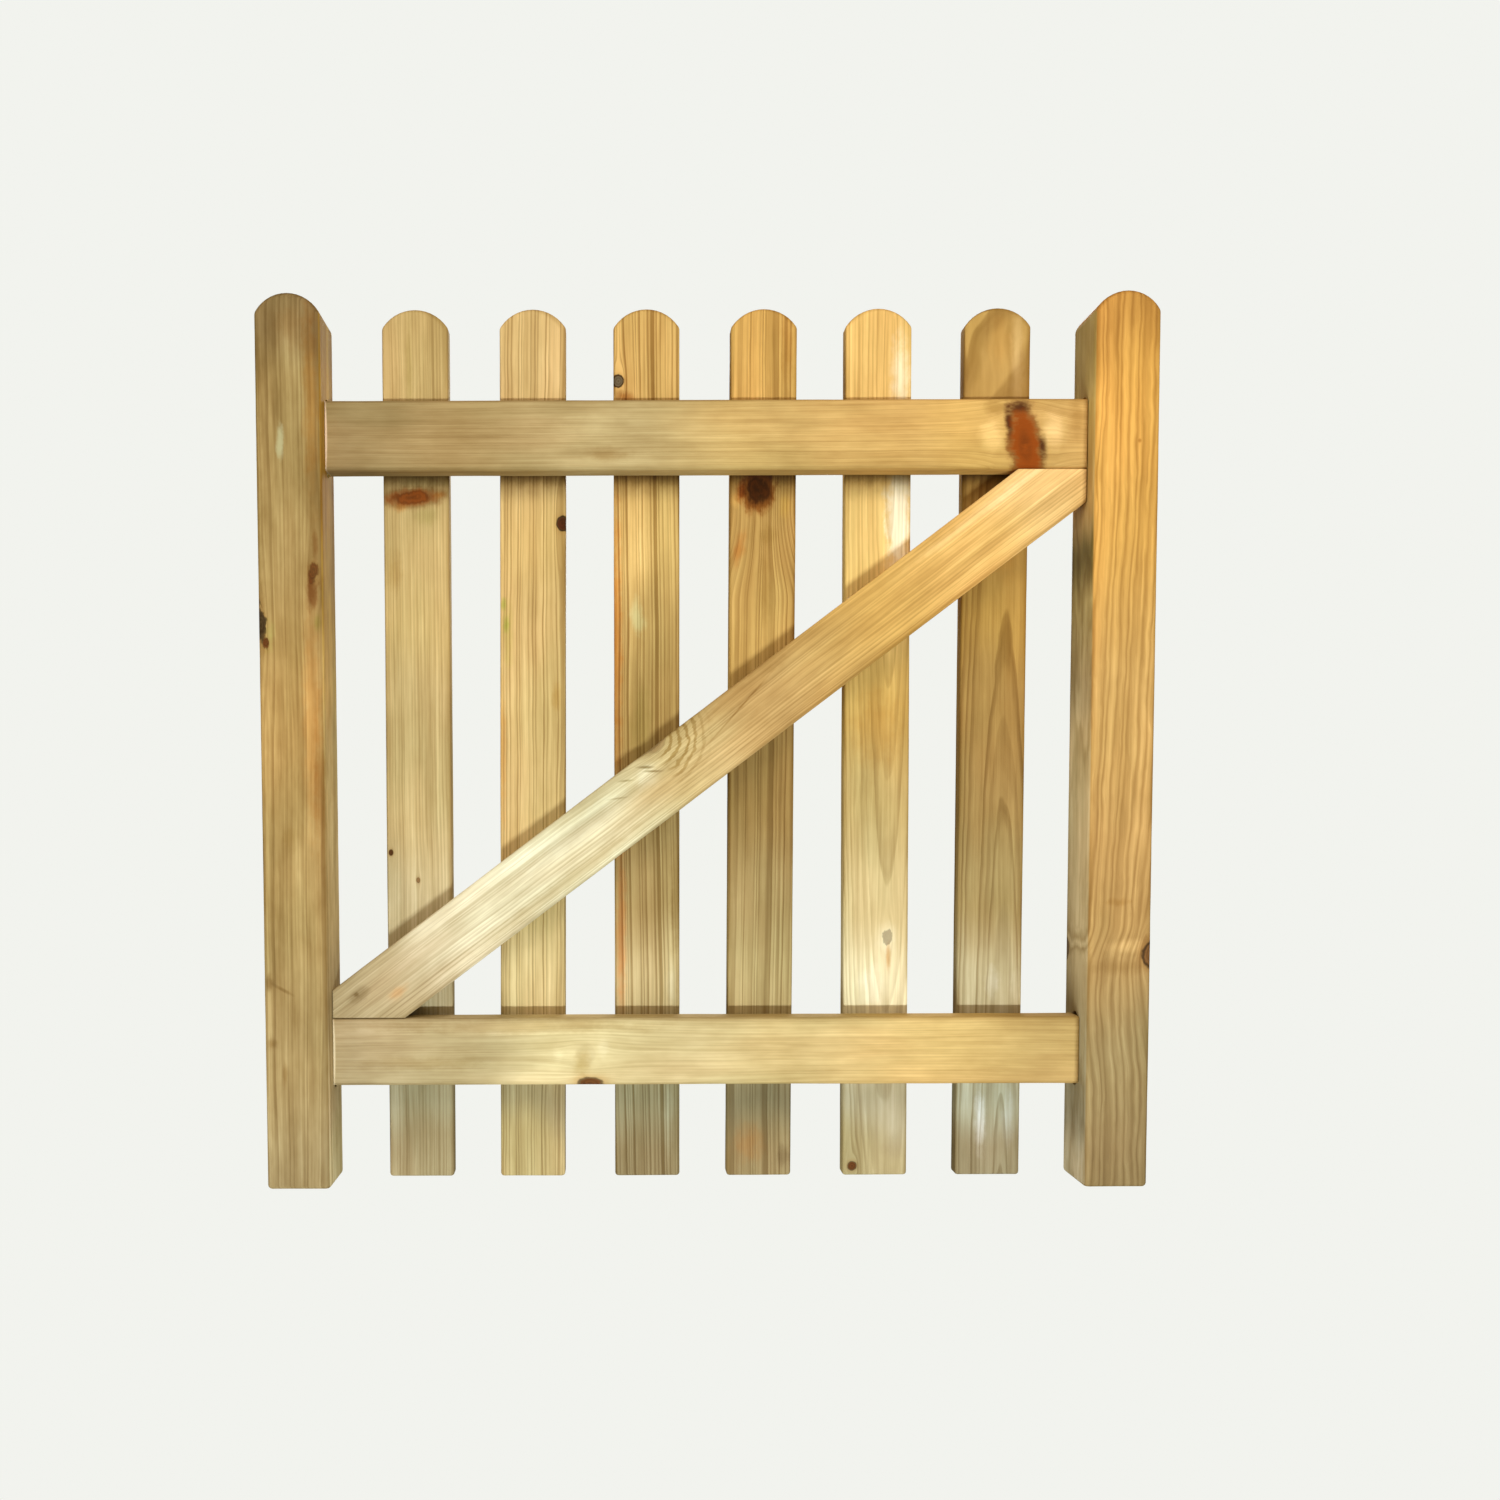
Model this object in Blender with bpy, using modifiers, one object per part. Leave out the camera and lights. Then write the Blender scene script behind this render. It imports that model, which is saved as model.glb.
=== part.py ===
"""Garden gate leaf: a framed picket gate with round-topped stiles and pickets.

Metres, +Z up.  The framing side (rails and brace) faces -Y, the pickets are on the +Y
side.  The origin is the middle of the footprint, at the bottom of the stiles and pickets.
"""
import bmesh
import bpy
from math import asin, cos, pi, radians, sin, sqrt, tan
from mathutils import Matrix, Vector

# ---------------------------------------------------------------- driving dimensions
WIDTH = 0.900            # over the two stiles
HEIGHT = 0.900           # ground to the crown of the heads
GAP = 0.0003             # clearance between touching pieces

STILE = 0.065            # stile section, square
STILE_HEAD_R = 0.0365    # radius of the stile's round head
STILE_SHOULDER_R = 0.009
STILE_ARRIS = 0.006

RAIL_H = 0.070           # rail height
RAIL_T = 0.028           # rail thickness
RAIL_SET = 0.019         # rail face set back from the stile face
RAIL_ARRIS = 0.0045
TOP_RAIL_Z = 0.730       # underside of the top rail
BOTTOM_RAIL_Z = 0.103    # underside of the bottom rail

SLOT_W = 0.016           # routed slot in the stile
SLOT_OVER = 0.004        # slot runs past the rail, above and below
SLOT_DEEP = 0.042
TENON_T = 0.0154
TENON_L = 0.040

BRACE_W = 0.068
BRACE_ANGLE = radians(37.0)
BRACE_DROP = 0.002       # brace's middle below the middle of the opening

PICKETS = 6
PICKET_W = 0.068
PICKET_T = 0.018
PICKET_HEAD_R = 0.040
PICKET_SHOULDER_R = 0.007
PICKET_ARRIS = 0.0026

NAIL_R = 0.0013          # picket nail shank
NAIL_HEAD_R = 0.0031
NAIL_HEAD_T = 0.0010
NAIL_L = 0.040
PIN_R = 0.0017           # joint nail shank
PIN_HEAD_R = 0.0036
PIN_L = 0.050
HEAD_SINK = 0.0003       # nail head below the board's face
NAIL_SIDES = 8

# ---------------------------------------------------------------- derived positions
FRONT = -STILE / 2
BACK = STILE / 2
RAIL_FRONT = FRONT + RAIL_SET
RAIL_BACK = RAIL_FRONT + RAIL_T
PICKET_FRONT = RAIL_BACK + GAP
PICKET_Y = (PICKET_FRONT + BACK) / 2
PICKET_DEPTH = BACK - PICKET_FRONT
INNER = WIDTH / 2 - STILE                  # half the clear width between the stiles
PICKET_PITCH = (2 * INNER + PICKET_W) / (PICKETS + 1)   # seven equal gaps
OPEN_LOW = BOTTOM_RAIL_Z + RAIL_H
OPEN_HIGH = TOP_RAIL_Z
MID_Z = (OPEN_LOW + OPEN_HIGH) / 2 - BRACE_DROP         # height of the brace's middle
PICKET_X = [(i - (PICKETS - 1) / 2) * PICKET_PITCH for i in range(PICKETS)]
RAILS = {"top": TOP_RAIL_Z, "bottom": BOTTOM_RAIL_Z}

# ---------------------------------------------------------------- scene set-up
for old in list(bpy.data.objects):
    bpy.data.objects.remove(old, do_unlink=True)

gate = bpy.data.collections.new("garden_gate")
cutters = bpy.data.collections.new("cutters")
bpy.context.scene.collection.children.link(gate)
bpy.context.scene.collection.children.link(cutters)


def material(name, colour, roughness, metallic=0.0):
    made = bpy.data.materials.new(name)
    made.use_nodes = True
    shader = made.node_tree.nodes["Principled BSDF"]
    shader.inputs["Base Color"].default_value = (*colour, 1.0)
    shader.inputs["Roughness"].default_value = roughness
    shader.inputs["Metallic"].default_value = metallic
    return made


WOOD = {
    "stile": material("wood_stile", (0.47, 0.32, 0.13), 0.70),
    "rail": material("wood_rail", (0.55, 0.39, 0.16), 0.68),
    "brace": material("wood_brace", (0.58, 0.43, 0.19), 0.68),
    "picket": material("wood_picket", (0.56, 0.38, 0.14), 0.68),
}
STEEL = material("galvanised_steel", (0.52, 0.53, 0.54), 0.45, 0.9)


# ---------------------------------------------------------------- helpers
def add_object(name, mesh, skin=None, place=(0, 0, 0), home=None):
    made = bpy.data.objects.new(name, mesh)
    (home or gate).objects.link(made)
    made.location = place
    if skin:
        made.data.materials.append(skin)
    return made


def arc(cx, cz, radius, start, end, steps):
    """Points along an arc in the X-Z plane, both ends included."""
    return [(cx + radius * cos(start + (end - start) * i / steps),
             cz + radius * sin(start + (end - start) * i / steps)) for i in range(steps + 1)]


def head_outline(width, height, head_r, shoulder_r, foot_r):
    """Outline of an upright board: flat foot, straight sides, shoulders eased into a round head."""
    half = width / 2
    crown = height - head_r                        # centre height of the head arc
    turn = asin((half - shoulder_r) / (head_r - shoulder_r))
    drop = sqrt((head_r - shoulder_r) ** 2 - (half - shoulder_r) ** 2)
    shoulder_z = crown + drop
    right = arc(half - shoulder_r, shoulder_z, shoulder_r, 0.0, pi / 2 - turn, 4)
    head = arc(0.0, crown, head_r, pi / 2 - turn, pi / 2 + turn, 14)[1:-1]
    left = [(-x, z) for x, z in reversed(right)]
    if foot_r > 0:
        foot_left = arc(-half + foot_r, foot_r, foot_r, pi, 1.5 * pi, 3)
    else:
        foot_left = [(-half, 0.0)]
    foot_right = [(-x, z) for x, z in reversed(foot_left)]
    return foot_left + foot_right + right + head + left


def slab(outline, depth):
    """A closed solid: the X-Z outline drawn as a filled curve and given its thickness along Y."""
    curve = bpy.data.curves.new("outline", "CURVE")
    curve.dimensions = "2D"
    curve.fill_mode = "BOTH"
    curve.extrude = depth / 2
    line = curve.splines.new("POLY")
    line.points.add(len(outline) - 1)
    for point, (x, z) in zip(line.points, outline):
        point.co = (x, z, 0.0, 1.0)
    line.use_cyclic_u = True
    drawn = bpy.data.objects.new("outline", curve)
    cutters.objects.link(drawn)
    mesh = bpy.data.meshes.new_from_object(drawn)
    bpy.data.objects.remove(drawn, do_unlink=True)
    form = bmesh.new()
    form.from_mesh(mesh)
    bmesh.ops.remove_doubles(form, verts=form.verts, dist=1e-6)
    bmesh.ops.dissolve_limit(form, angle_limit=0.001, verts=form.verts, edges=form.edges,
                             use_dissolve_boundaries=False)
    bmesh.ops.transform(form, matrix=Matrix.Rotation(pi / 2, 4, "X"), verts=form.verts)
    bmesh.ops.recalc_face_normals(form, faces=form.faces)
    form.to_mesh(mesh)
    form.free()
    mesh.materials.clear()
    return mesh


def block(size):
    """A box of the given size about its own centre."""
    mesh = bpy.data.meshes.new("block")
    form = bmesh.new()
    bmesh.ops.create_cube(form, size=1.0)
    bmesh.ops.scale(form, vec=Vector(size), verts=form.verts)
    form.to_mesh(mesh)
    form.free()
    return mesh


def ease(piece, width, segments, weigh):
    """Round the arrises: weigh(a, b) gives each edge's share of the full radius."""
    mesh = piece.data
    layer = mesh.attributes.new("bevel_weight_edge", "FLOAT", "EDGE")
    for edge in mesh.edges:
        a, b = (mesh.vertices[i].co for i in edge.vertices)
        layer.data[edge.index].value = weigh(a, b)
    rounded = piece.modifiers.new("arris", "BEVEL")
    rounded.limit_method = "WEIGHT"
    rounded.width = width
    rounded.segments = segments
    rounded.use_clamp_overlap = True


def lathe(profile, sides):
    """A turned solid about the Y axis from (radius, y) points that start and end on the axis."""
    form = bmesh.new()
    verts = [form.verts.new((r, y, 0.0)) for r, y in profile]
    edges = [form.edges.new(pair) for pair in zip(verts, verts[1:])]
    bmesh.ops.spin(form, geom=verts + edges, cent=(0, 0, 0), axis=(0, 1, 0),
                   angle=2 * pi, steps=sides, use_merge=True)
    bmesh.ops.remove_doubles(form, verts=form.verts, dist=1e-6)
    bmesh.ops.recalc_face_normals(form, faces=form.faces)
    mesh = bpy.data.meshes.new("turned")
    form.to_mesh(mesh)
    form.free()
    return mesh


def nail_mesh(shank_r, head_r, head_t, length):
    """A nail driven along -Y: head face at y = 0, point at y = -length."""
    tip = 2.2 * shank_r
    return lathe([(0, 0), (head_r, 0), (head_r, -head_t), (shank_r, -head_t),
                  (shank_r, tip - length), (0, -length)], NAIL_SIDES)


def nail_hole_mesh(shank_r, head_r, head_t, length):
    """The room a nail needs, open through the face it is driven from."""
    tip = 2.2 * shank_r
    return lathe([(0, 0.002), (head_r + GAP, 0.002), (head_r + GAP, -head_t - GAP),
                  (shank_r + GAP, -head_t - GAP), (shank_r + GAP, tip - length - GAP),
                  (0, -length - 2 * GAP)], NAIL_SIDES)


def merged(name, pieces):
    """Several cutter shapes, each with its place, as one cutter object."""
    form = bmesh.new()
    for mesh, place in pieces:
        copy = mesh.copy()
        copy.transform(Matrix.Translation(place))
        form.from_mesh(copy)
        bpy.data.meshes.remove(copy)
    mesh = bpy.data.meshes.new(name)
    form.to_mesh(mesh)
    form.free()
    made = add_object(name, mesh, home=cutters)
    made.display_type = "WIRE"
    made.hide_render = True
    return made


def carve(piece, cutter, operation="DIFFERENCE"):
    step = piece.modifiers.new(cutter.name, "BOOLEAN")
    step.operation = operation
    step.solver = "EXACT"
    step.object = cutter


# ---------------------------------------------------------------- nail positions
FACE = BACK - HEAD_SINK
nail = nail_mesh(NAIL_R, NAIL_HEAD_R, NAIL_HEAD_T, NAIL_L)
pin = nail_mesh(PIN_R, PIN_HEAD_R, NAIL_HEAD_T, PIN_L)
nail_hole = nail_hole_mesh(NAIL_R, NAIL_HEAD_R, NAIL_HEAD_T, NAIL_L)
pin_hole = nail_hole_mesh(PIN_R, PIN_HEAD_R, NAIL_HEAD_T, PIN_L)

nails = {}                 # name -> place of the head's centre
for i, x in enumerate(PICKET_X, start=1):
    for rail, low in RAILS.items():
        for mark, side in (("a", 1), ("b", -1)):
            nails[f"nail_{rail[0]}{i}{mark}"] = (
                x - side * 0.26 * PICKET_W, FACE, low + RAIL_H * (0.5 + side * 0.24))
    nails[f"nail_d{i}"] = (x, FACE, MID_Z + x * tan(BRACE_ANGLE))
pins = {f"pin_{side}_{rail}": (sign * (INNER + TENON_L / 2), FACE, low + RAIL_H / 2)
        for side, sign in (("hinge", -1), ("latch", 1)) for rail, low in RAILS.items()}

# ---------------------------------------------------------------- stiles
slot_r = SLOT_W / 2
slot_half = RAIL_H / 2 + SLOT_OVER - slot_r


def stadium(half_length, radius):
    """Round-ended slot outline, drawn about its own middle with the long way along Z."""
    return (arc(0, half_length, radius, 0, pi, 8)
            + arc(0, -half_length, radius, pi, 2 * pi, 8))


def end_prism(half_length, radius, length):
    """The slot or tenon shape, running along X from x = 0 to x = length."""
    mesh = slab(stadium(half_length, radius), length)
    mesh.transform(Matrix.Translation((length / 2, 0, 0)) @ Matrix.Rotation(pi / 2, 4, "Z"))
    return mesh


def stile_edges(a, b):
    """Front and back outline edges, but not the sawn foot."""
    on_face = abs(abs(a.y) - STILE / 2) < 1e-5 and abs(a.y - b.y) < 1e-5
    return 1.0 if on_face and max(a.z, b.z) > 1e-5 else 0.0


slot = end_prism(slot_half, slot_r, SLOT_DEEP + 0.010)
for side, sign in (("hinge", -1), ("latch", 1)):
    outline = head_outline(STILE, HEIGHT, STILE_HEAD_R, STILE_SHOULDER_R, 0.0)
    stile = add_object(f"stile_{side}", slab(outline, STILE), WOOD["stile"],
                       (sign * (WIDTH - STILE) / 2, 0, 0))
    ease(stile, STILE_ARRIS, 4, stile_edges)
    start = sign * (INNER + SLOT_DEEP) - (0 if sign < 0 else SLOT_DEEP + 0.010)
    carve(stile, merged(f"slots_{side}", [(slot, (start, 0, low + RAIL_H / 2))
                                          for low in RAILS.values()]))
    carve(stile, merged(f"pin_holes_{side}", [(pin_hole, place) for name, place in pins.items()
                                              if side in name]))

# ---------------------------------------------------------------- rails
rail_length = 2 * (INNER - GAP)
tenon_inside = 0.006
tenon = end_prism(RAIL_H / 2 - TENON_T / 2 - 0.0005, TENON_T / 2, TENON_L + tenon_inside)


def rail_edges(a, b):
    """Full round along the length, a light easing round the ends."""
    return 1.0 if abs(a.x - b.x) > 1e-5 else 0.22


for rail, low in RAILS.items():
    mid = (RAIL_FRONT + RAIL_BACK) / 2
    bar = add_object(f"rail_{rail}", block((rail_length, RAIL_T, RAIL_H)), WOOD["rail"],
                     (0, mid, low + RAIL_H / 2))
    ease(bar, RAIL_ARRIS, 4, rail_edges)
    reach = rail_length / 2 - tenon_inside
    carve(bar, merged(f"tenons_{rail}", [(tenon, (reach, 0, low + RAIL_H / 2)),
                                         (tenon, (-reach - TENON_L - tenon_inside, 0, low + RAIL_H / 2))]),
          "UNION")
    wanted = [(nail_hole, place) for name, place in nails.items() if name[5] == rail[0]]
    wanted += [(pin_hole, place) for name, place in pins.items() if name.endswith(rail)]
    carve(bar, merged(f"nail_holes_{rail}", wanted))

# ---------------------------------------------------------------- brace
s, c = sin(BRACE_ANGLE), cos(BRACE_ANGLE)
wall = INNER - GAP
low_cut, high_cut = OPEN_LOW + GAP, OPEN_HIGH - GAP


def on_edge(side, x=None, z=None):
    """Where the brace's upper (+1) or lower (-1) edge crosses an upright or a level line."""
    if x is not None:
        return (x, MID_Z + (x * s + side * BRACE_W / 2) / c)
    return (((z - MID_Z) * c - side * BRACE_W / 2) / s, z)


brace_outline = [(-wall, low_cut), on_edge(-1, z=low_cut), on_edge(-1, x=wall),
                 (wall, high_cut), on_edge(1, z=high_cut), on_edge(1, x=-wall)]


def brace_edges(a, b):
    """Full round along the two long edges, a light easing on the sawn ends."""
    if abs(a.y - b.y) > 1e-5:
        return 0.0
    return 1.0 if (a - b).length > 0.3 else 0.22


brace = add_object("brace", slab(brace_outline, RAIL_T), WOOD["brace"],
                   (0, (RAIL_FRONT + RAIL_BACK) / 2, 0))
ease(brace, RAIL_ARRIS, 4, brace_edges)
carve(brace, merged("nail_holes_brace", [(nail_hole, place) for name, place in nails.items()
                                         if name.startswith("nail_d")]))

# ---------------------------------------------------------------- pickets


def picket_edges(a, b):
    on_face = abs(abs(a.y) - PICKET_DEPTH / 2) < 1e-5 and abs(a.y - b.y) < 1e-5
    return 1.0 if on_face else 0.0


for i, x in enumerate(PICKET_X, start=1):
    outline = head_outline(PICKET_W, HEIGHT, PICKET_HEAD_R, PICKET_SHOULDER_R, 0.0034)
    board = add_object(f"picket_{i}", slab(outline, PICKET_DEPTH), WOOD["picket"],
                       (x, PICKET_Y, 0))
    ease(board, PICKET_ARRIS, 3, picket_edges)
    holes = [(nail_hole, place) for name, place in nails.items() if name[6:7] == str(i)]
    carve(board, merged(f"nail_holes_{i}", holes))

# ---------------------------------------------------------------- nails
for name, place in nails.items():
    add_object(name, nail.copy(), STEEL, place)
for name, place in pins.items():
    add_object(name, pin.copy(), STEEL, place)
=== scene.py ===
# %% [markdown]
# A garden gate: a round-topped picket leaf in pressure-treated softwood
#
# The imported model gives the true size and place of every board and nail.  This lesson
# loads it as a fixed frame, sets up a plain studio, and then makes the timber look like
# timber: rings that run through each board, knots that push the grain aside, the green
# cast of the treatment, and arrises that a plane has eased.

# %% Load the frame
from math import cos, pi, radians, sin

import bmesh
import bpy
from mathutils import Euler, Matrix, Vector, noise


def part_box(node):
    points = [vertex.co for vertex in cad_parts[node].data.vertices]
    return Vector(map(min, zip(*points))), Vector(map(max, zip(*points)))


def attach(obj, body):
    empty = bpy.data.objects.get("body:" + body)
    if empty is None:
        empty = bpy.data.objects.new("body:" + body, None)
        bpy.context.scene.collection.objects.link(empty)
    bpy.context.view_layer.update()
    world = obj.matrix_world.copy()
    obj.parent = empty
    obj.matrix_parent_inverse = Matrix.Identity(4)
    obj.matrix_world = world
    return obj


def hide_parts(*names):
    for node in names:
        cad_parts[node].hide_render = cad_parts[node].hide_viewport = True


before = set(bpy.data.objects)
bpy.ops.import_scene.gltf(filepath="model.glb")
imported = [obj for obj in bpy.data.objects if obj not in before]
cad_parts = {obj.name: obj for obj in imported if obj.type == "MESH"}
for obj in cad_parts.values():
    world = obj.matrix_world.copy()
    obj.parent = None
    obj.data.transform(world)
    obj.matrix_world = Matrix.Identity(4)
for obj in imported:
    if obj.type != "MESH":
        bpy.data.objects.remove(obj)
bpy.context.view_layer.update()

# %% [markdown]
# The camera stands a little left of the middle, below half height, and looks very
# slightly down at the leaf from 1.3 m.  The leaf sits left of and above the lens axis, so
# the camera has a small shift each way.

# %% Camera
lens = bpy.data.cameras.new("camera")
lens.sensor_width = 36.0
lens.lens = 30.70
lens.shift_x = 0.0900
lens.shift_y = 0.0825
lens.clip_start = 0.01
camera = bpy.data.objects.new("camera", lens)
bpy.context.scene.collection.objects.link(camera)
camera.location = (-0.0931, -1.3225, 0.3839)
camera.rotation_euler = (radians(90.0 - 2.729), radians(0.168), 0.0)
bpy.context.scene.camera = camera
bpy.context.scene.view_settings.view_transform = "Standard"

# %% [markdown]
# The studio is a pale sweep.  A real one is lit on its own so that it reads as one even
# tone, so the lens sees the sweep's pale colour while the gate itself is lit by a dimmer
# room and by lamps.  The rays that the lens sends out are told apart with a Light Path.

# %% Sweep and room light
PALE = (0.887, 0.896, 0.855)
ROOM = (1.0, 0.88, 0.76)
ROOM_STRENGTH = 0.24
FLOOR_GREY = (0.40, 0.40, 0.38)
FLOOR_DROP = 0.0005
FLOOR_HALF = 8.0


def split_by_lens(tree, seen, other, output):
    """Seen by the lens: one shader.  Met by any other ray: the other."""
    path = tree.nodes.new("ShaderNodeLightPath")
    mix = tree.nodes.new("ShaderNodeMixShader")
    tree.links.new(path.outputs["Is Camera Ray"], mix.inputs[0])
    tree.links.new(other.outputs[0], mix.inputs[1])
    tree.links.new(seen.outputs[0], mix.inputs[2])
    tree.links.new(mix.outputs[0], output.inputs["Surface"])


studio = bpy.data.worlds.new("studio")
bpy.context.scene.world = studio
studio.use_nodes = True
sky = studio.node_tree
seen = sky.nodes["Background"]
seen.inputs["Color"].default_value = (*PALE, 1.0)
room = sky.nodes.new("ShaderNodeBackground")
room.inputs["Color"].default_value = (*ROOM, 1.0)
room.inputs["Strength"].default_value = ROOM_STRENGTH
split_by_lens(sky, seen, room, sky.nodes["World Output"])

# %% [markdown]
# The gate stands on its two feet, so there is a floor a hair below them.  It uses the same
# trick as the sweep: pale to the lens, plain matt grey to every other ray, and no shadow,
# so no line shows where floor and sweep meet.

# %% Floor
pale = bpy.data.materials.new("pale_floor")
pale.use_nodes = True
floor_tree = pale.node_tree
floor_tree.nodes.remove(floor_tree.nodes["Principled BSDF"])
lit = floor_tree.nodes.new("ShaderNodeEmission")
lit.inputs["Color"].default_value = (*PALE, 1.0)
matt = floor_tree.nodes.new("ShaderNodeBsdfDiffuse")
matt.inputs["Color"].default_value = (*FLOOR_GREY, 1.0)
split_by_lens(floor_tree, lit, matt, floor_tree.nodes["Material Output"])

ground = bmesh.new()
bmesh.ops.create_grid(ground, x_segments=12, y_segments=12, size=FLOOR_HALF)
bmesh.ops.translate(ground, vec=(0, 0, -FLOOR_DROP), verts=ground.verts)
floor_mesh = bpy.data.meshes.new("floor")
ground.to_mesh(floor_mesh)
ground.free()
floor_mesh.materials.append(pale)
floor = bpy.data.objects.new("floor", floor_mesh)
bpy.context.scene.collection.objects.link(floor)
floor.visible_shadow = False

# %% [markdown]
# Four lamps light the gate.  The key is a wide, flat strip a long way off, low and to the
# right.  Its light climbs, so it throws the narrow shadows that lie on the pickets just
# above each rail and along the upper edge of the brace; being wide but not tall, it keeps
# the level shadows crisp and softens the slanting one.  A soft warm box overhead fills
# those shadows and shades the timber below each rail.  A low, weak lamp at the left stands
# for light off the floor and reaches the side faces of the stiles.  The last one stands
# behind and lights the picket side.

# %% Lamps


def lamp(name, kind, place, aim, power, colour, **settings):
    light = bpy.data.lights.new(name, kind)
    light.energy = power
    light.color = colour
    for key, value in settings.items():
        setattr(light, key, value)
    made = bpy.data.objects.new(name, light)
    bpy.context.scene.collection.objects.link(made)
    made.location = place
    made.rotation_euler = (Vector(aim) - Vector(place)).to_track_quat("-Z", "Y").to_euler()


lamp("key_strip", "AREA", (2.35, -8.0, -2.45), (0.0, 0.0, 0.45), 610.0, (0.87, 0.95, 1.0),
     shape="RECTANGLE", size=2.3, size_y=0.35)
lamp("soft_box", "AREA", (0.15, -1.7, 2.7), (0.0, 0.0, 0.5), 42.0, (1.0, 0.88, 0.76),
     shape="SQUARE", size=2.0)
lamp("floor_glow", "AREA", (-2.7, -0.85, -0.9), (0.35, 0.0, 0.35), 60.0, (0.92, 0.98, 1.0),
     shape="SQUARE", size=1.4)
lamp("back_fill", "AREA", (0.55, 3.2, 1.8), (0.0, 0.0, 0.45), 70.0, (1.0, 0.97, 0.92),
     shape="SQUARE", size=1.6)

# %% [markdown]
# Shader maths is easier to follow when each sum is one line, so a few helpers come first.
# A value can be a plain number or the output of another node.

# %% Shader helpers


def feed(tree, value, socket):
    if isinstance(value, bpy.types.NodeSocket):
        tree.links.new(value, socket)
    else:
        socket.default_value = value


def maths(tree, operation, *values, clamp=False):
    node = tree.nodes.new("ShaderNodeMath")
    node.operation = operation
    node.use_clamp = clamp
    for value, socket in zip(values, node.inputs):
        feed(tree, value, socket)
    return node.outputs[0]


def soft_step(tree, value, start, end):
    """0 before start, 1 after end, and an eased slope between; start may be the larger."""
    node = tree.nodes.new("ShaderNodeMapRange")
    node.interpolation_type = "SMOOTHSTEP"
    feed(tree, value, node.inputs["Value"])
    low, high, first, last = (start, end, 0.0, 1.0) if start < end else (end, start, 1.0, 0.0)
    node.inputs["From Min"].default_value = low
    node.inputs["From Max"].default_value = high
    node.inputs["To Min"].default_value = first
    node.inputs["To Max"].default_value = last
    return node.outputs["Result"]


def blend(tree, amount, under, over, how="MIX"):
    node = tree.nodes.new("ShaderNodeMix")
    node.data_type = "RGBA"
    node.blend_type = how
    node.clamp_factor = True
    feed(tree, amount, node.inputs[0])
    feed(tree, under if not isinstance(under, tuple) else (*under, 1.0), node.inputs[6])
    feed(tree, over if not isinstance(over, tuple) else (*over, 1.0), node.inputs[7])
    return node.outputs[2]


def speckle(tree, x, y, z, scale, detail=2.0, roughness=0.5):
    """Noise on its own stretched axes: scale gives the cells per metre each way."""
    place = tree.nodes.new("ShaderNodeCombineXYZ")
    for value, socket, per_metre in zip((x, y, z), place.inputs, scale):
        feed(tree, maths(tree, "MULTIPLY", value, per_metre), socket)
    cloud = tree.nodes.new("ShaderNodeTexNoise")
    cloud.inputs["Scale"].default_value = 1.0
    cloud.inputs["Detail"].default_value = detail
    cloud.inputs["Roughness"].default_value = roughness
    tree.links.new(place.outputs[0], cloud.inputs["Vector"])
    return cloud.outputs


def line_noise(tree, value, seed):
    """A smooth random number along one line."""
    cloud = tree.nodes.new("ShaderNodeTexNoise")
    cloud.noise_dimensions = "1D"
    cloud.inputs["Scale"].default_value = 1.0
    cloud.inputs["Detail"].default_value = 1.0
    feed(tree, maths(tree, "ADD", value, seed), cloud.inputs["W"])
    return cloud.outputs["Factor" if "Factor" in cloud.outputs else "Fac"]


# %% [markdown]
# A log is a stack of cones round its pith, one for each year: pale wood grown in spring,
# a dark thin line grown in summer.  A board is a slice of it.  So the pattern is worked
# out in space, as the distance from a pith that lies somewhere beside or behind the board,
# and the faces, arrises and sawn ends then agree with each other by themselves.  It is
# kept in one node group, and each board gives it its own pith and ring width.  A lean
# tilts the pith against the board, which draws pointed arches, and soft turns the sharp
# summer lines into broad, wavy bands.

# %% Rings of a log
RING_INPUTS = ("x", "y", "z", "pith x", "pith y", "lean x", "lean y", "ring", "wander", "soft",
               "seed")
RING_OUTPUTS = ("late", "fibre", "slow", "vein")
BROAD_SWAY = (7.0, 7.0, 4.0)
FINE_SWAY = (45.0, 45.0, 16.0)
FIBRES = (430.0, 430.0, 8.0)
VEINS = (95.0, 95.0, 3.0)
DRIFT = (16.0, 16.0, 5.0)
SEASON = ((0.35, 0.10), (0.66, 0.75), (0.80, 1.0), (0.90, 0.85))


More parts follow.
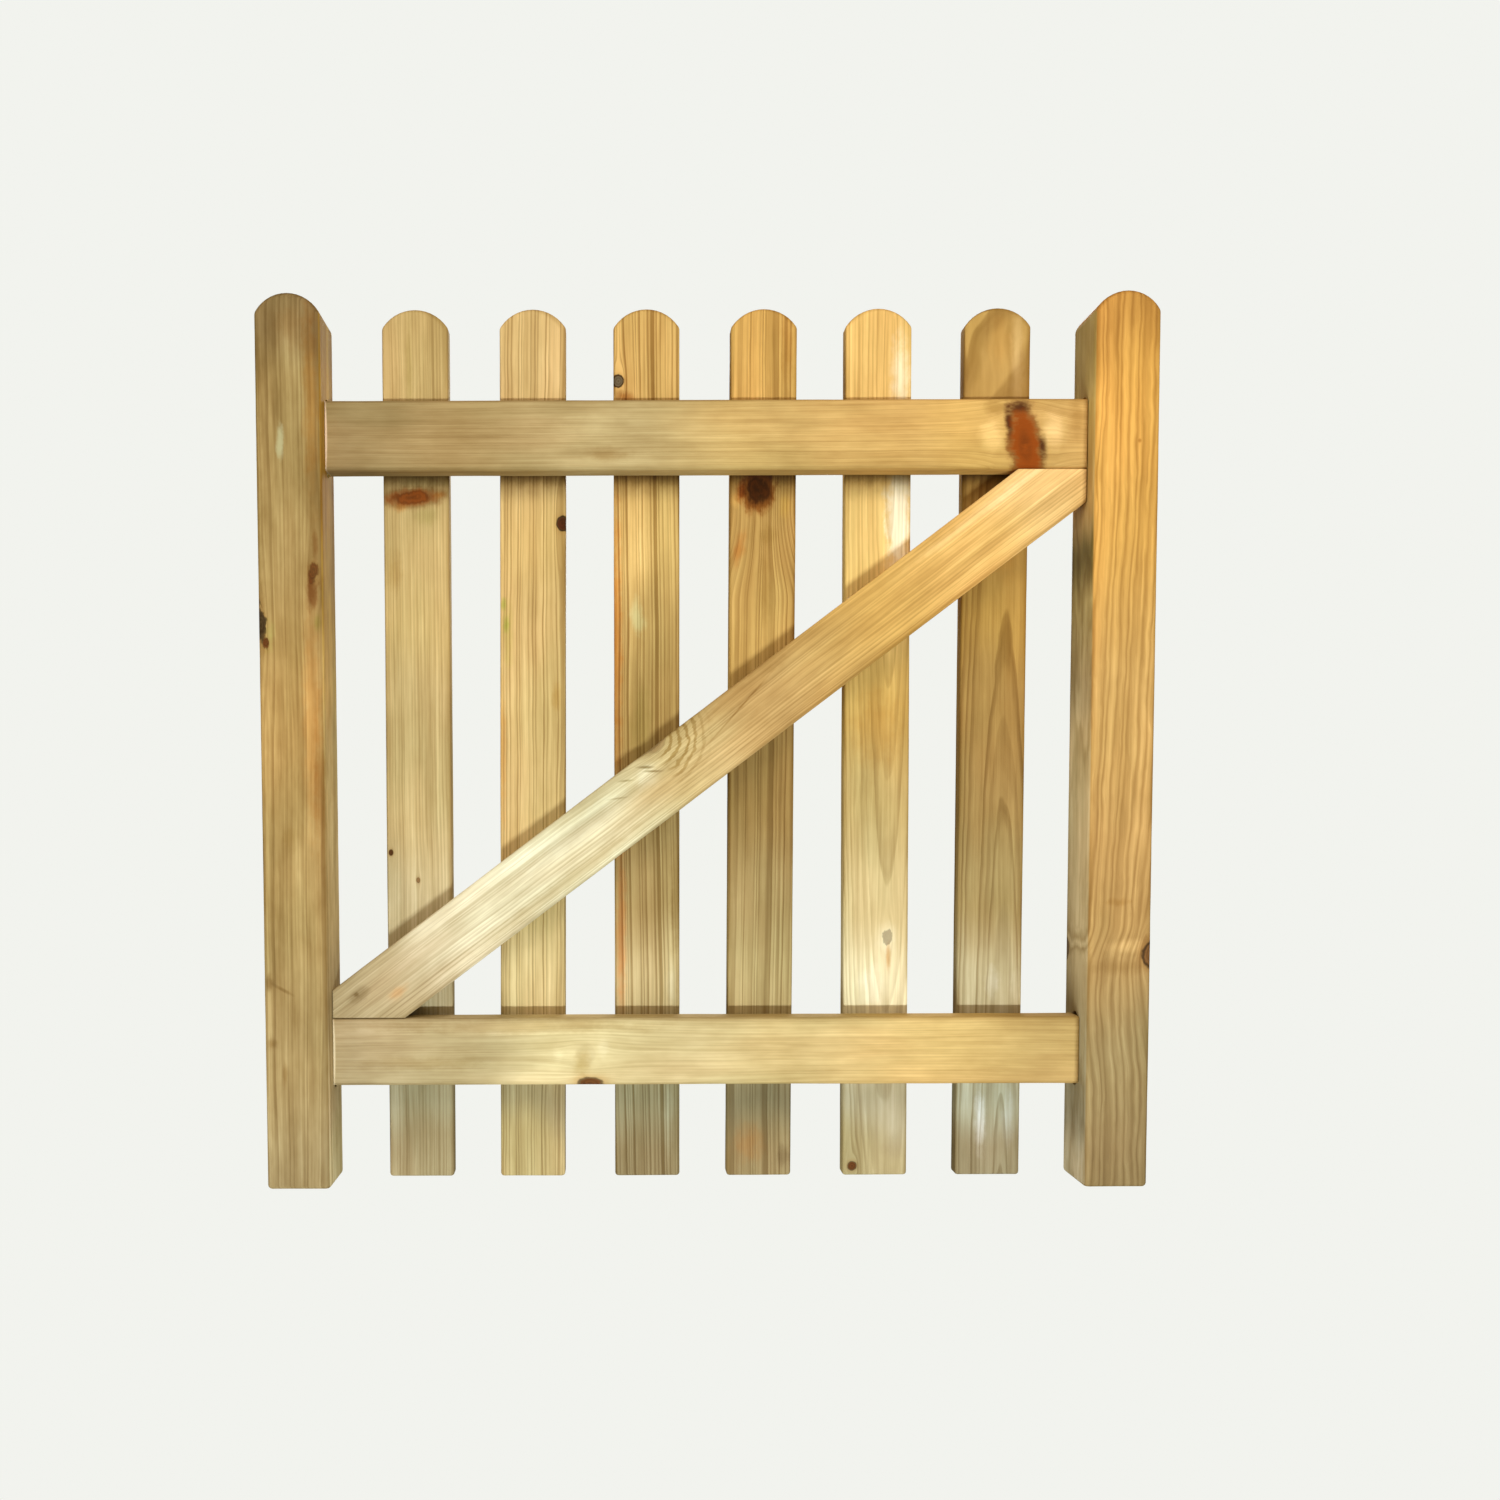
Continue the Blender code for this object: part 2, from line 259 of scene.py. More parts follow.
def log_group():
    tree = bpy.data.node_groups.new("log_rings", "ShaderNodeTree")
    for name in RING_INPUTS:
        tree.interface.new_socket(name, in_out="INPUT", socket_type="NodeSocketFloat")
    for name in RING_OUTPUTS:
        tree.interface.new_socket(name, in_out="OUTPUT", socket_type="NodeSocketFloat")
    given = tree.nodes.new("NodeGroupInput").outputs
    x, y, z = given["x"], given["y"], maths(tree, "ADD", given["z"], given["seed"])

    broad = speckle(tree, x, y, z, BROAD_SWAY, 1.0)
    fine = speckle(tree, x, y, z, FINE_SWAY, 2.0)
    split_broad = tree.nodes.new("ShaderNodeSeparateXYZ")
    tree.links.new(broad[1], split_broad.inputs[0])
    sway = []
    for axis, socket in zip((x, y), split_broad.outputs):
        large = maths(tree, "MULTIPLY", maths(tree, "SUBTRACT", socket, 0.5), given["wander"])
        small = maths(tree, "MULTIPLY", maths(tree, "SUBTRACT", fine[0], 0.5),
                      maths(tree, "MULTIPLY", given["ring"], maths(
                          tree, "MULTIPLY_ADD", given["soft"], 0.9, 0.45)))
        sway.append(maths(tree, "ADD", axis, maths(tree, "ADD", large, small)))

    squares = []
    for place, pith, lean in zip(sway, ("pith x", "pith y"), ("lean x", "lean y")):
        centre = maths(tree, "MULTIPLY_ADD", given["z"], given[lean], given[pith])
        squares.append(maths(tree, "POWER", maths(tree, "SUBTRACT", place, centre), 2.0))
    radius = maths(tree, "SQRT", maths(tree, "ADD", *squares))
    year = maths(tree, "DIVIDE", radius, given["ring"])
    uneven = maths(tree, "MULTIPLY", line_noise(tree, maths(tree, "MULTIPLY", year, 0.45),
                                                given["seed"]), 2.2)
    year = maths(tree, "ADD", year, uneven)
    season = maths(tree, "FRACT", year)
    ramp = tree.nodes.new("ShaderNodeValToRGB")
    ramp.color_ramp.interpolation = "EASE"
    for place, shade in SEASON:
        ramp.color_ramp.elements.new(place).color = (shade, shade, shade, 1.0)
    ramp.color_ramp.elements[-1].color = (0.0, 0.0, 0.0, 1.0)
    tree.links.new(season, ramp.inputs[0])
    strong = maths(tree, "MULTIPLY_ADD", line_noise(
        tree, maths(tree, "MULTIPLY", maths(tree, "FLOOR", year), 3.7), given["seed"]), 1.7, -0.15)
    late = maths(tree, "MULTIPLY", ramp.outputs[0], strong, clamp=True)
    wave = maths(tree, "SINE", maths(tree, "MULTIPLY", year, 2 * pi))
    late = maths(tree, "ADD", late, maths(tree, "MULTIPLY", given["soft"], maths(
        tree, "SUBTRACT", maths(tree, "MULTIPLY_ADD", wave, 0.42, 0.46), late)))

    fibre = speckle(tree, *sway, z, FIBRES, 2.0, 0.6)[0]
    vein = speckle(tree, *sway, z, VEINS, 3.0, 0.6)[0]
    slow = speckle(tree, x, y, z, DRIFT, 2.0)[0]
    taken = tree.nodes.new("NodeGroupOutput")
    for source, socket in zip((late, fibre, slow, vein), taken.inputs):
        tree.links.new(source, socket)
    return tree


log_rings = log_group()
print("log rings:", len(log_rings.nodes), "nodes")

# %% [markdown]
# A knot is the stub of a branch.  The rings part and flow round it as water flows round a
# post, so the shader moves each point sideways by the push that a post of the knot's size
# gives a stream.  Inside, the knot has its own close rings, a dark rim, and around it a
# halo of dense or resinous wood.  A stain is simpler: a soft-edged patch of another tone.
# The same patches also lay painted shade and painted highlights on a few boards.  Both are
# ellipses whose edge is made ragged by noise, and both are written as a spot: its middle
# and its two radii, and then only what sets it apart.

# %% Knots, stains and painted patches
KNOT_BROWN = (0.20, 0.060, 0.014)
KNOT_DARK = (0.022, 0.009, 0.004)
ARC_TONE = (0.66, 0.58, 0.42)
HALO_TONE = (0.72, 0.50, 0.26)


def spot(x, z, rx, rz, **more):
    return dict(x=x, z=z, rx=rx, rz=rz, **more)


def square(tree, value):
    return maths(tree, "MULTIPLY", value, value)


def reach(tree, x, y, z, mark):
    """Distance from a spot's middle, in its own radii; tilt leans it, y gives it a depth."""
    dx = maths(tree, "SUBTRACT", x, mark["x"])
    dz = maths(tree, "SUBTRACT", z, mark["z"])
    tilt = mark.get("tilt", 0.0)
    across = maths(tree, "ADD", maths(tree, "MULTIPLY", dx, cos(tilt) / mark["rx"]),
                   maths(tree, "MULTIPLY", dz, sin(tilt) / mark["rx"]))
    along = maths(tree, "SUBTRACT", maths(tree, "MULTIPLY", dz, cos(tilt) / mark["rz"]),
                  maths(tree, "MULTIPLY", dx, sin(tilt) / mark["rz"]))
    total = maths(tree, "ADD", square(tree, across), square(tree, along))
    if "y" in mark:
        deep = maths(tree, "DIVIDE", maths(tree, "SUBTRACT", y, mark["y"]), mark["ry"])
        total = maths(tree, "ADD", total, square(tree, deep))
    return maths(tree, "SQRT", total)


def knot_push(tree, x, z, knot):
    """How far the stream of grain is moved aside by a knot."""
    dx = maths(tree, "SUBTRACT", x, knot["x"])
    dz = maths(tree, "SUBTRACT", z, knot["z"])
    wide, tall = knot["rx"], knot["rz"] * knot.get("sweep", 2.4)
    stream = maths(tree, "ADD", square(tree, maths(tree, "DIVIDE", dx, wide)),
                   square(tree, maths(tree, "DIVIDE", dz, tall)))
    push = maths(tree, "DIVIDE", dx, maths(tree, "MAXIMUM", stream, 1.0))
    return maths(tree, "MULTIPLY", push, knot.get("flow", 1.0))


def roughen(tree, value, ragged, amount):
    return maths(tree, "ADD", value, maths(tree, "MULTIPLY", maths(
        tree, "SUBTRACT", ragged, 0.5), amount))


# A soft patch laid over the colour: used for stains and for patches of painted shade and painted
# highlight.
def patched(tree, colour, x, y, z, patch, ragged):
    away = roughen(tree, reach(tree, x, y, z, patch), ragged, patch.get("ragged", 1.1))
    mask = maths(tree, "MULTIPLY", soft_step(tree, away, 1.0, patch.get("core", 0.1)),
                 patch.get("strength", 0.8))
    tinted = blend(tree, 1.0, colour, patch["colour"], "MULTIPLY")
    return blend(tree, mask, colour, blend(tree, patch.get("cover", 0.0), tinted, patch["colour"]))


def knotted(tree, colour, x, y, z, knot, ragged):
    """Lay one knot over the colour; also give the mask of its hard heart."""
    near = roughen(tree, reach(tree, x, y, z, knot), ragged, knot.get("ragged", 0.7))
    if "arcs" in knot:
        arc = maths(tree, "SINE", maths(tree, "MULTIPLY", near, knot["arcs"]))
        arc = maths(tree, "MULTIPLY", soft_step(tree, arc, -0.2, 0.9), maths(
            tree, "MULTIPLY", soft_step(tree, near, 6.0, 3.4), soft_step(tree, near, 0.9, 1.3)))
        arc = maths(tree, "MULTIPLY", arc, soft_step(
            tree, maths(tree, "SUBTRACT", z, knot["z"]), -0.012, 0.004))
        colour = blend(tree, arc, colour, blend(tree, 1.0, colour, ARC_TONE, "MULTIPLY"))
    size = knot.get("halo_size", 2.4)
    halo = square(tree, soft_step(tree, near, size, 0.9))
    colour = blend(tree, maths(tree, "MULTIPLY", halo, knot.get("halo", 0.5)), colour, blend(
        tree, 1.0, colour, knot.get("halo_colour", HALO_TONE), "MULTIPLY"))
    turns = maths(tree, "SINE", maths(tree, "MULTIPLY", near, knot.get("turns", 14.0)))
    dark = maths(tree, "MULTIPLY_ADD", turns, 0.16, knot.get("dark", 0.3))
    dark = roughen(tree, dark, ragged, 0.8)
    heart = blend(tree, dark, knot.get("colour", KNOT_BROWN), KNOT_DARK)
    mask = maths(tree, "MULTIPLY", soft_step(tree, near, 1.15, knot.get("core", 0.75)),
                 knot.get("cover", 0.95))
    colour = blend(tree, mask, colour, heart)
    rim = maths(tree, "MULTIPLY", soft_step(tree, near, 0.72, 0.98),
                soft_step(tree, near, 1.25, 1.02))
    rim = maths(tree, "MULTIPLY", rim, knot.get("rim", 0.6))
    return blend(tree, rim, colour, KNOT_DARK), mask


# %% [markdown]
# Each board's material then puts the parts in order: its place in the log, its base tone
# from end to end, the rings, the long veins and fibres, the mottle, the stains and painted
# patches, the knots, and last the arrises, darkened as painted shade where the rounded edge
# turns away from the light.
# A kink shifts the rings sideways along a stretch of the board, or pinches them together.
# A second table paints light and shade onto the side face that inner points to, brightening
# or darkening it along its length.  Arrises and knots shine less than planed faces.

# %% Timber material
SPRING_WOOD = (1.20, 1.24, 1.34)
SUMMER_WOOD = (0.46, 0.36, 0.20)
GREEN_CAST = (0.97, 1.00, 0.95)
WARM_CAST = (1.03, 1.00, 0.95)
ARRIS_SHADE = (0.62, 0.55, 0.42)
ARRIS_WIDTH = 0.0042
PORES = (110.0, 110.0, 60.0)
CLOUDS = (42.0, 42.0, 15.0)
VEIN_DEPTH, FIBRE_DEPTH, DRIFT_DEPTH = 0.75, 0.30, 0.22
PLANED_SHINE = 0.09
MATT_SHINE = 0.01
BUMP_HEIGHT = 0.0003


def board_space(tree, place, turn):
    """Coordinates of a board: x across it, y through it, z along it."""
    coords = tree.nodes.new("ShaderNodeTexCoord")
    laid = tree.nodes.new("ShaderNodeMapping")
    laid.vector_type = "TEXTURE"
    laid.inputs["Location"].default_value = place
    laid.inputs["Rotation"].default_value = turn
    tree.links.new(coords.outputs["Object"], laid.inputs["Vector"])
    split = tree.nodes.new("ShaderNodeSeparateXYZ")
    tree.links.new(laid.outputs[0], split.inputs[0])
    return split.outputs


def toned(tree, z, drift, tones):
    """Colour along the board, from a short list of (place, colour): the base tone with its
    painted light and shade, and the side faces' painted shading.
    """
    base = tree.nodes.new("ShaderNodeValToRGB")
    base.color_ramp.interpolation = "EASE"
    first, last = tones[0][0], tones[-1][0]
    stops = base.color_ramp.elements
    stops[0].color = (*tones[0][1], 1.0)
    stops[-1].color = (*tones[-1][1], 1.0)
    for position, colour in tones[1:-1]:
        stops.new((position - first) / (last - first)).color = (*colour, 1.0)
    run = maths(tree, "DIVIDE", maths(tree, "SUBTRACT", z, first), last - first)
    tree.links.new(roughen(tree, run, drift, 0.12), base.inputs[0])
    return base.outputs[0]


def streaked(tree, colour, value, depth):
    """Multiply by a grey that swings round 1 with a value that swings round a half."""
    swing = maths(tree, "MULTIPLY_ADD", value, 2.0 * depth, 1.0 - depth)
    grey = tree.nodes.new("ShaderNodeCombineColor")
    for socket, warmth in zip(grey.inputs, (0.8, 1.0, 1.35)):
        tree.links.new(maths(tree, "POWER", swing, warmth), socket)
    return blend(tree, 1.0, colour, grey.outputs[0], "MULTIPLY")


def arris_mask(tree, x, z, half, head):
    """1 on a board's edges and round its arched head, 0 a few millimetres inside."""
    side = maths(tree, "SUBTRACT", maths(tree, "ABSOLUTE", x), half)
    if head:
        middle_z, radius = head
        above = maths(tree, "MAXIMUM", maths(tree, "SUBTRACT", z, middle_z), 0.0)
        arch = maths(tree, "SQRT", maths(tree, "ADD", square(tree, x), square(tree, above)))
        side = maths(tree, "MAXIMUM", side, maths(tree, "SUBTRACT", arch, radius))
    return soft_step(tree, side, -ARRIS_WIDTH, -0.0002)


def timber(name, place, turn, pith, ring, half, head=None, lean=(0.0, 0.0), wander=0.006,
           grain=1.0, veins=0.5, knots=(), stains_and_painted_light=(), kinks=(), soft=0.0, seed=0.0, edge=0.5,
           mottle=0.22, side_shading=None, inner=1.0):
    skin = bpy.data.materials.new("timber_" + name)
    skin.use_nodes = True
    tree = skin.node_tree
    shader = tree.nodes["Principled BSDF"]
    x, y, z = board_space(tree, place, turn)
    ragged = speckle(tree, x, y, z, PORES, 3.0, 0.65)[0]

    bent = x
    for knot in knots:
        if knot.get("flow", 1.0):
            bent = maths(tree, "SUBTRACT", bent, knot_push(tree, x, z, knot))
    for start, end, shift, spread in kinks:
        bent = maths(tree, "ADD", bent, maths(tree, "MULTIPLY", soft_step(tree, z, start, end),
                                              maths(tree, "MULTIPLY_ADD", x, spread, shift)))
    rings = tree.nodes.new("ShaderNodeGroup")
    rings.node_tree = log_rings
    for label, value in zip(RING_INPUTS, (bent, y, z, *pith, *lean, ring, wander, soft, seed)):
        feed(tree, value, rings.inputs[label])
    late, fibre, slow, vein = (rings.outputs[label] for label in RING_OUTPUTS)

    # Base tone along the board, with painted light and shade in it.
    colour = toned(tree, z, slow, TONES_AND_PAINTED_LIGHT[name])
    colour = blend(tree, 1.0, colour, blend(
        tree, soft_step(tree, slow, 0.35, 0.65), GREEN_CAST, WARM_CAST), "MULTIPLY")
    colour = blend(tree, grain, colour, blend(tree, 1.0, colour, blend(
        tree, late, SPRING_WOOD, SUMMER_WOOD), "MULTIPLY"))
    colour = streaked(tree, colour, vein, VEIN_DEPTH * veins)
    colour = streaked(tree, colour, fibre, FIBRE_DEPTH)
    colour = streaked(tree, colour, slow, DRIFT_DEPTH)
    cloud = speckle(tree, x, y, z, CLOUDS, 3.0, 0.6)[0]
    colour = streaked(tree, colour, cloud, mottle)
    # Stains, and patches of painted shade and painted highlight.
    for patch in stains_and_painted_light:
        colour = patched(tree, colour, x, y, z, patch, ragged)
    rims = arris_mask(tree, x, z, half, head)
    matt = rims
    for knot in knots:
        colour, mask = knotted(tree, colour, x, y, z, knot, ragged)
        matt = maths(tree, "MAXIMUM", matt, mask)
    # Painted shade: the arrises are darkened where the rounded edge turns away from the light.
    edges = maths(tree, "MULTIPLY", rims, edge)
    colour = blend(tree, edges, colour, blend(tree, 1.0, colour, ARRIS_SHADE, "MULTIPLY"))
    # Painted light and shade on one side face, from the board's second table.
    if side_shading:
        flank = soft_step(tree, maths(tree, "MULTIPLY", x, inner), half - 0.0016, half - 0.0005)
        colour = blend(tree, flank, colour, blend(
            tree, 1.0, colour, toned(tree, z, slow, side_shading), "MULTIPLY"))
    tree.links.new(colour, shader.inputs["Base Color"])

    shine = maths(tree, "MULTIPLY_ADD", matt, MATT_SHINE - PLANED_SHINE, PLANED_SHINE)
    feed(tree, shine, shader.inputs["Specular IOR Level"])
    feed(tree, maths(tree, "MULTIPLY_ADD", fibre, 0.25, 0.50), shader.inputs["Roughness"])
    raised = maths(tree, "ADD", maths(tree, "MULTIPLY", late, 0.6),
                   maths(tree, "MULTIPLY", fibre, 0.7))
    bump = tree.nodes.new("ShaderNodeBump")
    bump.inputs["Strength"].default_value = 0.6
    bump.inputs["Distance"].default_value = BUMP_HEIGHT
    tree.links.new(raised, bump.inputs["Height"])
    tree.links.new(bump.outputs[0], shader.inputs["Normal"])
    return skin


# %% [markdown]
# No two boards of the gate are the same tone.  This table gives each one's, in linear
# colour, at a few places along it: from the foot up for the uprights, from left to right
# for the rails, and from the lower end to the upper for the brace.  The stops also hold
# painted light and shade, the fall of the light along each board: the boards are darker
# towards their feet and just below the brace.

# %% Tones and painted light along the boards
TONES_AND_PAINTED_LIGHT = {
    "picket_1": (
        (0.03, (0.36, 0.28, 0.15)), (0.08, (0.4, 0.35, 0.21)), (0.29, (0.53, 0.44, 0.25)),
        (0.4, (0.51, 0.38, 0.17)), (0.5, (0.55, 0.4, 0.18)), (0.58, (0.59, 0.43, 0.18)),
        (0.66, (0.55, 0.4, 0.17)), (0.84, (0.51, 0.35, 0.14))),
    "picket_2": (
        (0.03, (0.48, 0.37, 0.17)), (0.08, (0.36, 0.29, 0.15)), (0.2, (0.62, 0.47, 0.22)),
        (0.4, (0.56, 0.39, 0.16)), (0.5, (0.57, 0.4, 0.16)), (0.58, (0.57, 0.38, 0.15)),
        (0.66, (0.6, 0.4, 0.15)), (0.84, (0.59, 0.39, 0.16))),
    "picket_3": (
        (0.03, (0.24, 0.18, 0.084)), (0.08, (0.28, 0.24, 0.13)), (0.2, (0.54, 0.41, 0.2)),
        (0.29, (0.35, 0.24, 0.091)), (0.5, (0.35, 0.22, 0.067)), (0.58, (0.44, 0.28, 0.09)),
        (0.66, (0.6, 0.39, 0.13)), (0.84, (0.57, 0.35, 0.11))),
    "picket_4": (
        (0.03, (0.3, 0.22, 0.1)), (0.08, (0.22, 0.18, 0.092)), (0.2, (0.42, 0.32, 0.14)),
        (0.29, (0.35, 0.25, 0.1)), (0.4, (0.26, 0.16, 0.047)), (0.58, (0.48, 0.3, 0.087)),
        (0.66, (0.46, 0.27, 0.079)), (0.84, (0.55, 0.32, 0.086))),
    "picket_5": (
        (0.03, (0.4, 0.32, 0.16)), (0.08, (0.43, 0.37, 0.23)), (0.2, (0.81, 0.7, 0.44)),
        (0.29, (0.6, 0.47, 0.23)), (0.4, (0.48, 0.34, 0.13)), (0.5, (0.57, 0.36, 0.1)),
        (0.66, (0.72, 0.49, 0.17)), (0.84, (0.7, 0.44, 0.14))),
    "picket_6": (
        (0.03, (0.28, 0.22, 0.12)), (0.08, (0.39, 0.37, 0.25)), (0.2, (0.48, 0.39, 0.22)),
        (0.29, (0.33, 0.23, 0.087)), (0.4, (0.28, 0.17, 0.051)), (0.5, (0.32, 0.18, 0.048)),
        (0.58, (0.38, 0.21, 0.046)), (0.84, (0.4, 0.23, 0.061))),
    "stile_hinge": (
        (0.03, (0.29, 0.21, 0.092)), (0.15, (0.33, 0.23, 0.091)), (0.3, (0.38, 0.25, 0.091)),
        (0.48, (0.43, 0.27, 0.091)), (0.66, (0.32, 0.21, 0.073)), (0.8, (0.33, 0.22, 0.08)),
        (0.87, (0.23, 0.15, 0.057))),
    "stile_latch": (
        (0.03, (0.29, 0.2, 0.083)), (0.15, (0.33, 0.24, 0.1)), (0.3, (0.45, 0.27, 0.088)),
        (0.48, (0.63, 0.37, 0.12)), (0.66, (0.69, 0.37, 0.087)), (0.8, (0.73, 0.38, 0.084)),
        (0.87, (0.55, 0.27, 0.058))),
    "rail_top": (
        (-0.36, (0.33, 0.23, 0.1)), (-0.24, (0.35, 0.24, 0.098)), (-0.1, (0.49, 0.36, 0.17)),
        (0.05, (0.54, 0.36, 0.13)), (0.2, (0.56, 0.34, 0.11)), (0.27, (0.6, 0.37, 0.11)),
        (0.365, (0.52, 0.31, 0.098))),
    "rail_bottom": (
        (-0.36, (0.46, 0.35, 0.19)), (-0.24, (0.48, 0.38, 0.2)), (-0.16, (0.71, 0.58, 0.31)),
        (-0.04, (0.6, 0.47, 0.24)), (0.1, (0.57, 0.43, 0.19)), (0.24, (0.69, 0.47, 0.18)),
        (0.36, (0.5, 0.33, 0.12))),
    "brace": (
        (-0.41, (0.46, 0.35, 0.19)), (-0.28, (0.74, 0.65, 0.44)), (-0.14, (0.67, 0.59, 0.37)),
        (-0.03, (0.57, 0.42, 0.19)), (0.08, (0.47, 0.3, 0.11)), (0.22, (0.62, 0.36, 0.1)),
        (0.34, (0.72, 0.42, 0.13)), (0.42, (0.71, 0.45, 0.17))),
}

# %% [markdown]
# The boards themselves.  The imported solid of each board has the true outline, so the
# visual board starts as a merged copy of it.  Planes then slice it into short cells, which
# lets the surface wander by a fraction of a millimetre, as planed wood does, and lets a
# dent or a swollen knot be pressed into it.

# %% Dress a board
CELL = 0.008
WANDER = 0.00022
MERGE = 1e-6
WAVES = (14, 14, 6)
RIPPLES = 38
CREASE = radians(38)
LEAF_HEIGHT = 0.9
FOOT_RADIUS = 0.004


def sliced(form, direction, low, high, cell):
    """Cut a mesh with evenly spaced planes square to a direction."""
    count = max(1, round((high - low) / cell))
    for step in range(1, count):
        place = Vector(direction) * (low + (high - low) * step / count)
        bmesh.ops.bisect_plane(form, geom=form.verts[:] + form.edges[:] + form.faces[:],
                               dist=MERGE, plane_co=place, plane_no=direction)


def soften_foot(form, radius):
    """Round the edge all round an upright's foot."""
    rim = [edge for edge in form.edges if max(v.co.z for v in edge.verts) < 1e-5
           and min(face.normal.z for face in edge.link_faces) < -0.9
           and max(face.normal.z for face in edge.link_faces) > -0.5]
    bmesh.ops.bevel(form, geom=rim, offset=radius, segments=3, profile=0.5, affect="EDGES",
                    material=-1)


def dress(node, skin, turn=(0.0, 0.0, 0.0), dents=(), sway=(0.0, 0.0), foot=0.0):
    form = bmesh.new()
    form.from_mesh(bpy.data.objects[node].data)
    bmesh.ops.remove_doubles(form, verts=form.verts, dist=MERGE)
    bmesh.ops.dissolve_limit(form, angle_limit=radians(0.3), verts=form.verts, edges=form.edges)
    form.normal_update()
    if foot:
        soften_foot(form, foot)
    axes = Euler(turn).to_matrix()
    for axis in range(3):
        direction = axes.col[axis]
        span = [direction.dot(vert.co) for vert in form.verts]
        sliced(form, direction, min(span), max(span), CELL)
    form.normal_update()
    for vert in form.verts:
        place = vert.co
        waves = Vector([part * rate for part, rate in zip(place, WAVES)])
        lift = WANDER * (noise.noise(waves) + 0.5 * noise.noise(place * RIPPLES))
        for centre, radius, depth in dents:
            near = (place - Vector(centre)).length / radius
            if near < 1:
                lift -= depth * (1 - near * near) ** 2
        vert.co = place + vert.normal * lift
        vert.co.x += sway[0] + (sway[1] - sway[0]) * place.z / LEAF_HEIGHT
    for face in form.faces:
        face.smooth = True
    for edge in form.edges:
        edge.smooth = len(edge.link_faces) == 2 and edge.calc_face_angle(0.0) < CREASE
    mesh = bpy.data.meshes.new(node + "_board")
    form.to_mesh(mesh)
    form.free()
    mesh.materials.append(skin)
    board = bpy.data.objects.new(node + "_board", mesh)
    bpy.context.scene.collection.objects.link(board)
    weigh = board.modifiers.new("flat faces stay flat", "WEIGHTED_NORMAL")
    weigh.keep_sharp = True
    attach(board, "root")
    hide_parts(node)
    print(board.name, len(mesh.polygons), "faces")


def middle(node):
    low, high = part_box(node)
    return Vector([(a + b) / 2 for a, b in zip(low, high)])


# %% [markdown]
# The hinge stile is the darkest board: brown at the head, olive below, with a small
# reddish knot near its inner edge and a split knot on the outer arris.

# %% Hinge stile
UPRIGHT = (0.0, 0.0, 0.0)
STILE_HALF = 0.0325
STILE_ARCH = 0.0365
STILE_HEAD = (LEAF_HEIGHT - STILE_ARCH, STILE_ARCH)


def upright_place(node):
    """The foot of an upright board, in the middle of its section."""
    centre = middle(node)
    return (centre.x, centre.y, 0.0)


# Painted light and shade on the hinge stile's inner side face, along its length.
HINGE_SIDE_SHADING = (
    (0.03, (2.4, 2.8, 3.6)), (0.08, (2.1, 2.35, 3.2)), (0.2, (1.4, 1.6, 2.2)),
    (0.3, (1.65, 1.93, 2.5)), (0.45, (1.5, 1.8, 2.3)), (0.52, (1.55, 1.68, 1.65)),
    (0.6, (1.5, 1.5, 1.0)), (0.7, (1.35, 1.15, 0.6)), (0.84, (1.65, 1.55, 0.85)))
hinge_skin = timber(
    "stile_hinge", upright_place("stile_hinge"), UPRIGHT, pith=(-0.110, 0.090), ring=0.0036,
    half=STILE_HALF, head=STILE_HEAD, lean=(0.010, 0.0), wander=0.010, grain=0.45, veins=0.9,
    seed=3.1, edge=0.35, mottle=0.52, side_shading=HINGE_SIDE_SHADING,
    knots=(spot(0.0240, 0.624, 0.0042, 0.0090, sweep=3.0, dark=0.6, halo=0.6, rim=0.2, ragged=2.8,
                cover=0.8),
           spot(-0.0310, 0.575, 0.0060, 0.0170, y=-0.032, ry=0.014, tilt=0.2, dark=0.75,
                colour=(0.10, 0.07, 0.03), rim=0.5, halo=0.3, ragged=2.4),
           spot(-0.0240, 0.556, 0.0030, 0.0060, y=-0.032, ry=0.010, flow=0.0, dark=0.5, rim=0.2,
                halo=0.2, ragged=2.4)),
    stains_and_painted_light=(spot(0.022, 0.604, 0.0085, 0.024, colour=(0.52, 0.30, 0.17), strength=0.9),
            spot(0.026, 0.650, 0.004, 0.018, colour=(0.66, 0.48, 0.32)),
            spot(-0.007, 0.752, 0.0055, 0.020, colour=(0.50, 0.46, 0.24), cover=0.85,
                 strength=0.9, core=0.3, ragged=1.2),
            spot(-0.021, 0.562, 0.008, 0.020, colour=(1.05, 1.30, 1.15), strength=0.9, ragged=1.8),
            spot(0.027, 0.575, 0.005, 0.012, colour=(0.75, 0.88, 0.60)),
            spot(0.024, 0.80, 0.012, 0.14, colour=(1.0, 0.74, 0.45)),
            spot(0.020, 0.48, 0.012, 0.16, colour=(1.04, 0.84, 0.66)),
            spot(-0.034, 0.70, 0.012, 0.28, colour=(0.72, 0.66, 0.56), strength=0.7),
            spot(-0.027, 0.212, 0.006, 0.012, colour=(0.55, 0.45, 0.32)),
            spot(-0.012, 0.118, 0.004, 0.022, colour=(0.74, 0.64, 0.50)),
            spot(0.027, 0.42, 0.008, 0.14, colour=(0.86, 0.74, 0.60)),
            spot(-0.004, 0.360, 0.010, 0.020, colour=(0.84, 0.78, 0.66)),
            spot(-0.012, 0.205, 0.016, 0.0028, tilt=-0.5, colour=(0.60, 0.50, 0.38), ragged=0.5),
            spot(-0.024, 0.150, 0.008, 0.009, colour=(0.66, 0.56, 0.42)),
            spot(0.005, 0.868, 0.026, 0.030, colour=(0.92, 0.80, 0.66))))
dress("stile_hinge", hinge_skin, foot=FOOT_RADIUS)
